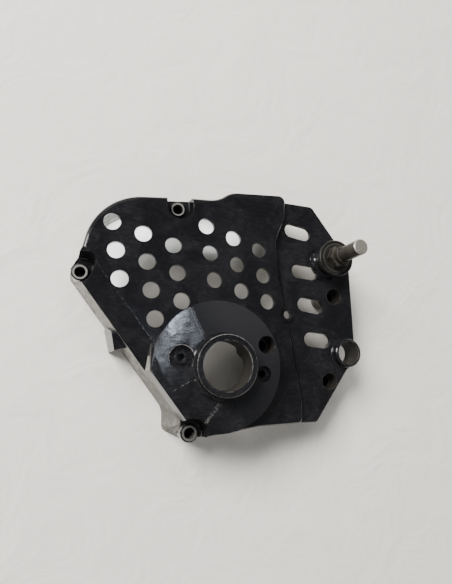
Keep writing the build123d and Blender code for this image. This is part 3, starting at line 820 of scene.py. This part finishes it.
def foot_cove(name, centre, radius, low, reach, middle, half_turn):
    """A cast cove at a boss's foot: a hollow quarter circle swept round the boss, whose reach swells
    from nothing to its full size and back, as the square of the cosine of the angle from its middle.
    The sweep stops where the cove is thinner than the boss's own rounding."""
    swing = np.linspace(-0.8, 0.8, 41)
    angle = middle + swing * half_turn
    grown = reach * np.cos(swing * math.pi / 2) ** 2
    quarter = np.linspace(0.0, math.pi / 2, 11)
    level = np.zeros_like(grown)
    out = np.column_stack((radius + grown[:, None] * (1.0 - np.cos(quarter)), radius + grown,
                           level + radius - COVE_SINK, level + radius - COVE_SINK))
    up = np.column_stack((low + grown[:, None] * (1.0 - np.sin(quarter)), level + low - COVE_SINK,
                          level + low - COVE_SINK, low + grown))
    across = centre[0] + out * np.cos(angle)[:, None] + DATUM[0]
    along = centre[1] + out * np.sin(angle)[:, None] + DATUM[1]
    points = np.stack((across, along, up), axis=-1) * MM
    rows, columns = out.shape
    index = np.arange(rows * columns).reshape(rows, columns)
    after = np.roll(index, -1, axis=1)
    faces = np.stack((index[:-1], after[:-1], after[1:], index[1:]), axis=-1).reshape(-1, 4).tolist()
    ends = [index[0, ::-1].tolist(), index[-1].tolist()]
    hollow = np.tile(np.arange(columns) < len(quarter) - 1, rows - 1)
    return mesh_object(name, points, faces + ends, np.append(hollow, (False, False)))


def wavy_sheet(name, half_width, half_depth, steps):
    """A table covering: a level grid whose height is a sum of a few long, shallow sine ripples, flat
    under the cover and fading in beyond it."""
    u = np.linspace(-1.0, 1.0, steps)
    across, along = np.meshgrid(u * half_width, u * half_depth)
    ripple = (np.sin(across * 9.0 + along * 5.0) + np.sin(along * 13.0 - across * 4.0 + 1.3)) * 0.0003
    faded = np.clip((np.hypot(across, along) - 0.16) / 0.12, 0.0, 1.0)
    points = np.stack((across, along, (ripple - 0.0006) * faded), axis=-1)
    index = np.arange(steps * steps).reshape(steps, steps)
    corners = (index[:-1, :-1], index[:-1, 1:], index[1:, 1:], index[1:, :-1])
    faces = np.stack(corners, axis=-1).reshape(-1, 4)
    return mesh_object(name, points, faces.tolist(), np.ones(len(faces), dtype=bool))


def table_finish(colour):
    """Off-white table covering with faint creases and a few specks."""
    material, r, shader = new_finish("table_covering")
    place = drawing_place(r)[0]
    mottle = r.noise(place, 0.012, 5.0, 0.6, 0.5)
    specks = r.step(r.noise(place, 0.35, 2.0, 0.5), 0.76, 0.8)
    darker = tuple(part * 0.93 for part in colour[:3]) + (1.0,)
    base = r.blend(mottle, darker, tuple(colour[:3]) + (1.0,))
    base = r.blend(r.sum("MULTIPLY", specks, 0.35), base, (0.25, 0.22, 0.19, 1.0))
    r.feed(shader.inputs["Base Color"], base)
    shader.inputs["Roughness"].default_value = 0.62
    creases = r.noise(place, 0.02, 4.0, 0.55, 1.5)
    bump = r.put("ShaderNodeBump", Height=creases)
    bump.inputs["Distance"].default_value = 0.004
    bump.inputs["Strength"].default_value = 0.35
    r.feed(shader.inputs["Normal"], bump.outputs[0])
    return material


def soft_light(name, place, aim, size, power, colour, turn=0.0):
    """A rectangular light at a place, turned towards a point and about its own axis."""
    lamp = bpy.data.lights.new(name, "AREA")
    lamp.shape = "RECTANGLE"
    lamp.size, lamp.size_y = size
    lamp.energy = power
    lamp.color = colour
    made = bpy.data.objects.new(name, lamp)
    made.location = place
    towards = (Vector(aim) - Vector(place)).to_track_quat("-Z", "Y")
    made.rotation_euler = (towards @ Quaternion((0.0, 0.0, 1.0), turn)).to_euler()
    bpy.context.scene.collection.objects.link(made)
    return made


class CastingLooks(bpy.types.PropertyGroup):
    """Colours and wear of the casting."""

    paint_colour: bpy.props.FloatVectorProperty(
        name="Paint", description="Gloss black paint", subtype="COLOR", size=4, min=0.0, max=1.0,
        default=(0.0032, 0.0032, 0.0042, 1.0))
    # Also the colour of the painted sheen on the disc's level top
    smear_and_sheen_colour: bpy.props.FloatVectorProperty(
        name="Smears", description="Dry film of grease and dust on the paint", subtype="COLOR",
        size=4, min=0.0, max=1.0, default=(0.022, 0.022, 0.024, 1.0))
    # Also the colour of the painted highlight along the disc's crease
    scratch_and_highlight_colour: bpy.props.FloatVectorProperty(
        name="Scratches", description="Scuffed paint", subtype="COLOR", size=4, min=0.0, max=1.0,
        default=(0.30, 0.29, 0.27, 1.0))
    metal_colour: bpy.props.FloatVectorProperty(
        name="Bare metal", description="Bare casting on the outside", subtype="COLOR", size=4,
        min=0.0, max=1.0, default=(0.30, 0.292, 0.275, 1.0))
    stain_colour: bpy.props.FloatVectorProperty(
        name="Stains", description="Oxide and dirt on bare metal", subtype="COLOR", size=4,
        min=0.0, max=1.0, default=(0.105, 0.10, 0.09, 1.0))
    hollow_colour: bpy.props.FloatVectorProperty(
        name="Hollow", description="Bare casting inside", subtype="COLOR", size=4, min=0.0,
        max=1.0, default=(0.30, 0.29, 0.27, 1.0))
    soot_colour: bpy.props.FloatVectorProperty(
        name="Chain dirt", description="Oily dirt inside", subtype="COLOR", size=4, min=0.0,
        max=1.0, default=(0.06, 0.055, 0.048, 1.0))
    # Also the colour of the painted highlights on the slope's crease and the tapped seat's far edge
    bright_colour: bpy.props.FloatVectorProperty(
        name="Worn metal", description="Machined seats and rubbed edges", subtype="COLOR", size=4,
        min=0.0, max=1.0, default=(0.36, 0.35, 0.33, 1.0))
    # Near-black for old grease, and painted shade in the bores, holes and wells
    grease_colour: bpy.props.FloatVectorProperty(
        name="Bore grease", description="Old grease in the bores and the screw holes",
        subtype="COLOR", size=4, min=0.0, max=1.0, default=(0.016, 0.0145, 0.0125, 1.0))
    paint_roughness: bpy.props.FloatProperty(
        name="Paint roughness", description="Roughness of clean paint", subtype="FACTOR", min=0.0,
        max=1.0, default=0.10)
    smear_roughness: bpy.props.FloatProperty(
        name="Smear roughness", description="What smears add to the roughness", subtype="FACTOR",
        min=0.0, max=1.0, default=0.07)
    chip_amount: bpy.props.FloatProperty(
        name="Chips", description="Share of the edges whose paint is rubbed off", subtype="FACTOR",
        min=0.0, max=1.0, default=0.34)


class HardwareLooks(bpy.types.PropertyGroup):
    """Colours of the stud and its washer."""

    steel_colour: bpy.props.FloatVectorProperty(
        name="Steel", description="Turned steel", subtype="COLOR", size=4, min=0.0, max=1.0,
        default=(0.24, 0.22, 0.19, 1.0))
    steel_dark: bpy.props.FloatVectorProperty(
        name="Dark steel", description="Steel in the bottom of the lathe lines", subtype="COLOR",
        size=4, min=0.0, max=1.0, default=(0.12, 0.108, 0.09, 1.0))
    steel_bright: bpy.props.FloatVectorProperty(
        name="Bright steel", description="Rubbed edges", subtype="COLOR", size=4, min=0.0, max=1.0,
        default=(0.55, 0.52, 0.46, 1.0))
    grease_colour: bpy.props.FloatVectorProperty(
        name="Grease", description="Old brown grease", subtype="COLOR", size=4, min=0.0, max=1.0,
        default=(0.014, 0.0125, 0.0105, 1.0))
    washer_colour: bpy.props.FloatVectorProperty(
        name="Washer", description="Blackened washer", subtype="COLOR", size=4, min=0.0, max=1.0,
        default=(0.006, 0.006, 0.006, 1.0))
    washer_grease: bpy.props.FloatVectorProperty(
        name="Washer film", description="Dry film on the washer", subtype="COLOR", size=4, min=0.0,
        max=1.0, default=(0.022, 0.021, 0.019, 1.0))


class StageSetup(bpy.types.PropertyGroup):
    """Table, light and camera."""

    table_colour: bpy.props.FloatVectorProperty(
        name="Table", description="Colour of the table covering", subtype="COLOR", size=3, min=0.0,
        max=1.0, default=(0.72, 0.697, 0.65))
    table_size: bpy.props.FloatProperty(
        name="Table size", description="Half the width of the table", unit="LENGTH", min=0.5,
        default=3.0)
    overhead_power: bpy.props.FloatProperty(
        name="Overhead lamps", description="Power of the small lamps overhead", unit="POWER",
        min=0.0, default=0.48)
    shine_power: bpy.props.FloatProperty(
        name="Window shine", description="Power of the light that only shines in the gloss",
        unit="POWER", min=0.0, default=60.0)
    room_power: bpy.props.FloatProperty(
        name="Room lamps", description="Power of the soft lamps on the other three sides",
        unit="POWER", min=0.0, default=32.0)
    edge_power: bpy.props.FloatProperty(
        name="Light in the hollow",
        description="Power of the lights that stand for the daylight in the hollow",
        unit="POWER", min=0.0, default=0.019)
    window_power: bpy.props.FloatProperty(
        name="Window light", description="Power of the large light from the upper left",
        unit="POWER", min=0.0, default=165.0)
    room_light: bpy.props.FloatProperty(
        name="Room light", description="Strength of the light from all round", min=0.0, default=0.165)
    lens: bpy.props.FloatProperty(
        name="Lens", description="Focal length for a frame 36 mm high", subtype="DISTANCE_CAMERA",
        min=5.0, default=26.507)


class COVER_OT_casting(bpy.types.Operator):
    """Paint the casting, wear it to bare metal, and add the cove at the stud boss's foot"""

    bl_idname = "cover.casting"
    bl_label = "Finish the casting"

    def execute(self, context):
        finish = casting_finish(context.scene.cover_casting_looks, groups())
        dress("cover_casting", finish)
        cove = foot_cove("stud_boss_foot", STUD, STUD_BOSS_RADIUS, PLATE_HEIGHT, COVE_REACH,
                         COVE_MIDDLE, COVE_HALF_TURN)
        cove.data.materials.append(finish)
        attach(cove, "root")
        return {"FINISHED"}


class COVER_OT_stud(bpy.types.Operator):
    """Give the lever stud its greasy steel"""

    bl_idname = "cover.stud"
    bl_label = "Finish the stud"

    def execute(self, context):
        finish = stud_finish(context.scene.cover_hardware_looks, groups())
        dress("pivot_stud", finish)
        return {"FINISHED"}


class COVER_OT_washer(bpy.types.Operator):
    """Give the flange washer its black film"""

    bl_idname = "cover.washer"
    bl_label = "Finish the washer"

    def execute(self, context):
        finish = washer_finish(context.scene.cover_hardware_looks, groups())
        dress("flange_washer", finish)
        return {"FINISHED"}


class COVER_OT_stage(bpy.types.Operator):
    """Lay the table, hang the lights and place the camera"""

    bl_idname = "cover.stage"
    bl_label = "Set the stage"

    def execute(self, context):
        setup = context.scene.cover_stage_setup
        table = wavy_sheet("table", setup.table_size, setup.table_size, 120)
        table.data.materials.append(table_finish(setup.table_colour))

        for name, place, size, turn, share in GLINTS:
            glint = soft_light(name, place, (place[0], place[1], 0.0), size,
                               setup.overhead_power * share, OVERHEAD_LIGHT, turn)
            glint.visible_diffuse = False
        window = soft_light("window", WINDOW_PLACE, TABLE_MIDDLE, WINDOW_SIZE, setup.window_power,
                            DAYLIGHT)
        window.visible_glossy = False
        shine = soft_light("window_shine", SHINE_PLACE, TABLE_MIDDLE, SHINE_SIZE, setup.shine_power,
                           DAYLIGHT)
        shine.visible_diffuse = False
        for name, place, share in ROOM_LAMPS:
            lamp = soft_light(name, place, TABLE_MIDDLE, ROOM_LAMP_SIZE, setup.room_power * share,
                              DAYLIGHT)
            lamp.visible_glossy = False
        for name, place, size, share in EDGE_LIGHTS:
            edge = soft_light(name, place, (place[0], place[1], 0.0), size, setup.edge_power * share,
                              EDGE_LIGHT)
            edge.data.spread = EDGE_LIGHT_SPREAD
            edge.visible_glossy = False
            edge.visible_camera = False
        world = context.scene.world or bpy.data.worlds.new("room")
        context.scene.world = world
        world.use_nodes = True
        background = world.node_tree.nodes["Background"]
        background.inputs["Color"].default_value = ROOM_COLOUR
        background.inputs["Strength"].default_value = setup.room_light

        lens = bpy.data.cameras.new("camera")
        lens.sensor_fit = "VERTICAL"
        lens.sensor_height = FRAME_HEIGHT
        lens.lens = setup.lens
        lens.clip_start = NEAREST_SEEN
        camera = bpy.data.objects.new("camera", lens)
        turned = Matrix((CAMERA_RIGHT, CAMERA_UP, CAMERA_BACK)).transposed().to_4x4()
        camera.matrix_world = Matrix.Translation(CAMERA_PLACE) @ turned
        context.scene.collection.objects.link(camera)
        context.scene.camera = camera
        return {"FINISHED"}


class COVER_PT_sidebar(bpy.types.Panel):
    """Output cover finishes"""

    bl_idname = "COVER_PT_sidebar"
    bl_label = "Output Cover"
    bl_space_type = "VIEW_3D"
    bl_region_type = "UI"
    bl_category = "Output Cover"

    def draw(self, context):
        layout = self.layout
        for settings, title in (
            (context.scene.cover_casting_looks, "Casting"),
            (context.scene.cover_hardware_looks, "Stud and washer"),
            (context.scene.cover_stage_setup, "Stage"),
        ):
            box = layout.box()
            box.label(text=title)
            for name in settings.bl_rna.properties.keys():
                if name not in {"rna_type", "name"}:
                    box.prop(settings, name)
        for operator in OPERATORS:
            layout.operator(operator.bl_idname)


OPERATORS = (
    COVER_OT_casting,
    COVER_OT_stud,
    COVER_OT_washer,
    COVER_OT_stage,
)
CLASSES = (CastingLooks, HardwareLooks, StageSetup, *OPERATORS, COVER_PT_sidebar)


def register():
    for made in CLASSES:
        bpy.utils.register_class(made)
    bpy.types.Scene.cover_casting_looks = bpy.props.PointerProperty(type=CastingLooks)
    bpy.types.Scene.cover_hardware_looks = bpy.props.PointerProperty(type=HardwareLooks)
    bpy.types.Scene.cover_stage_setup = bpy.props.PointerProperty(type=StageSetup)


def unregister():
    del bpy.types.Scene.cover_stage_setup
    del bpy.types.Scene.cover_hardware_looks
    del bpy.types.Scene.cover_casting_looks
    for made in reversed(CLASSES):
        bpy.utils.unregister_class(made)


def main():
    """Finishes every piece and sets the stage."""
    register()
    bpy.ops.cover.casting()
    bpy.ops.cover.stud()
    bpy.ops.cover.washer()
    bpy.ops.cover.stage()


if __name__ == "__main__":
    main()
